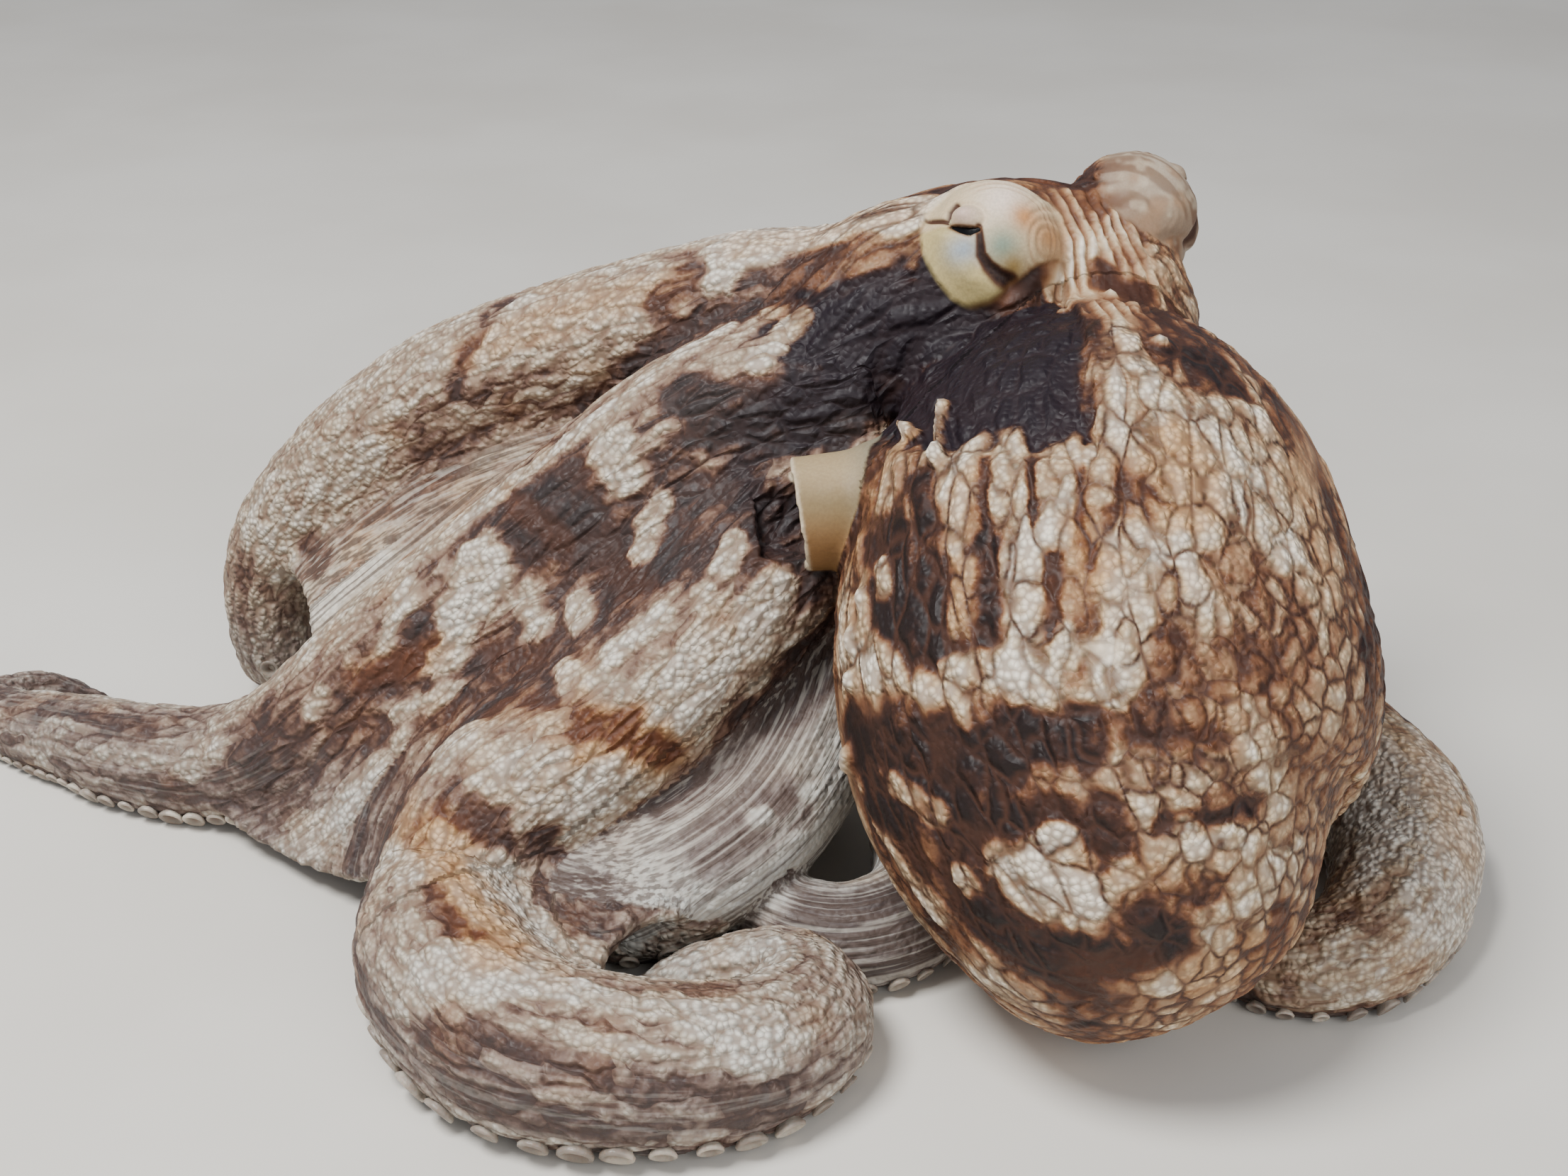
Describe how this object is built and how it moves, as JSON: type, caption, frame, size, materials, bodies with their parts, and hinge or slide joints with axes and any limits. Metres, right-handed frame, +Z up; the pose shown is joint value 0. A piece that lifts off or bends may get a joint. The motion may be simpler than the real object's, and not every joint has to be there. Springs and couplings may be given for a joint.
{
  "type": "octopus model",
  "caption": "Life-size common octopus at rest on the floor, head raised, round mantle hanging forward, arms spread and curled with webs between.",
  "frame": {"origin": "on the floor under the centre of the model's bounding box", "axes": "+Z up, +X to the right of the viewer who faces the hanging mantle, +Y away from that viewer"},
  "size_m": [0.3994, 0.2544, 0.1666],
  "materials": {
    "skin": "wet mottled cream and chocolate-brown skin",
    "funnel_skin": "smooth wet orange-cream skin",
    "eye": "glossy dark eye with a slit pupil"
  },
  "bodies": {
    "root": {"eye_left": "eye", "eye_right": "eye", "head": "skin", "mantle": "skin", "funnel": "funnel_skin", "crown": "skin", "arm_L1_1": "skin", "arm_L1_2": "skin", "arm_L1_3": "skin", "arm_L1_4": "skin", "arm_L2_1": "skin", "arm_L2_2": "skin", "arm_L2_3": "skin", "arm_L2_4": "skin", "arm_L3_1": "skin", "arm_L3_2": "skin", "arm_L3_3": "skin", "arm_L3_4": "skin", "arm_L4_1": "skin", "arm_L4_2": "skin", "arm_L4_3": "skin", "arm_L4_4": "skin", "arm_R4_1": "skin", "arm_R4_2": "skin", "arm_R4_3": "skin", "arm_R4_4": "skin", "arm_R3_1": "skin", "arm_R3_2": "skin", "arm_R3_3": "skin", "arm_R3_4": "skin", "arm_R2_1": "skin", "arm_R2_2": "skin", "arm_R2_3": "skin", "arm_R2_4": "skin", "arm_R1_1": "skin", "arm_R1_2": "skin", "arm_R1_3": "skin", "arm_R1_4": "skin", "web_L1_L2": "skin", "web_L2_L3": "skin", "web_L3_L4": "skin", "web_L4_R4": "skin", "web_R4_R3": "skin", "web_R3_R2": "skin", "web_R2_R1": "skin", "web_R1_L1": "skin"}
  },
  "joints": []
}
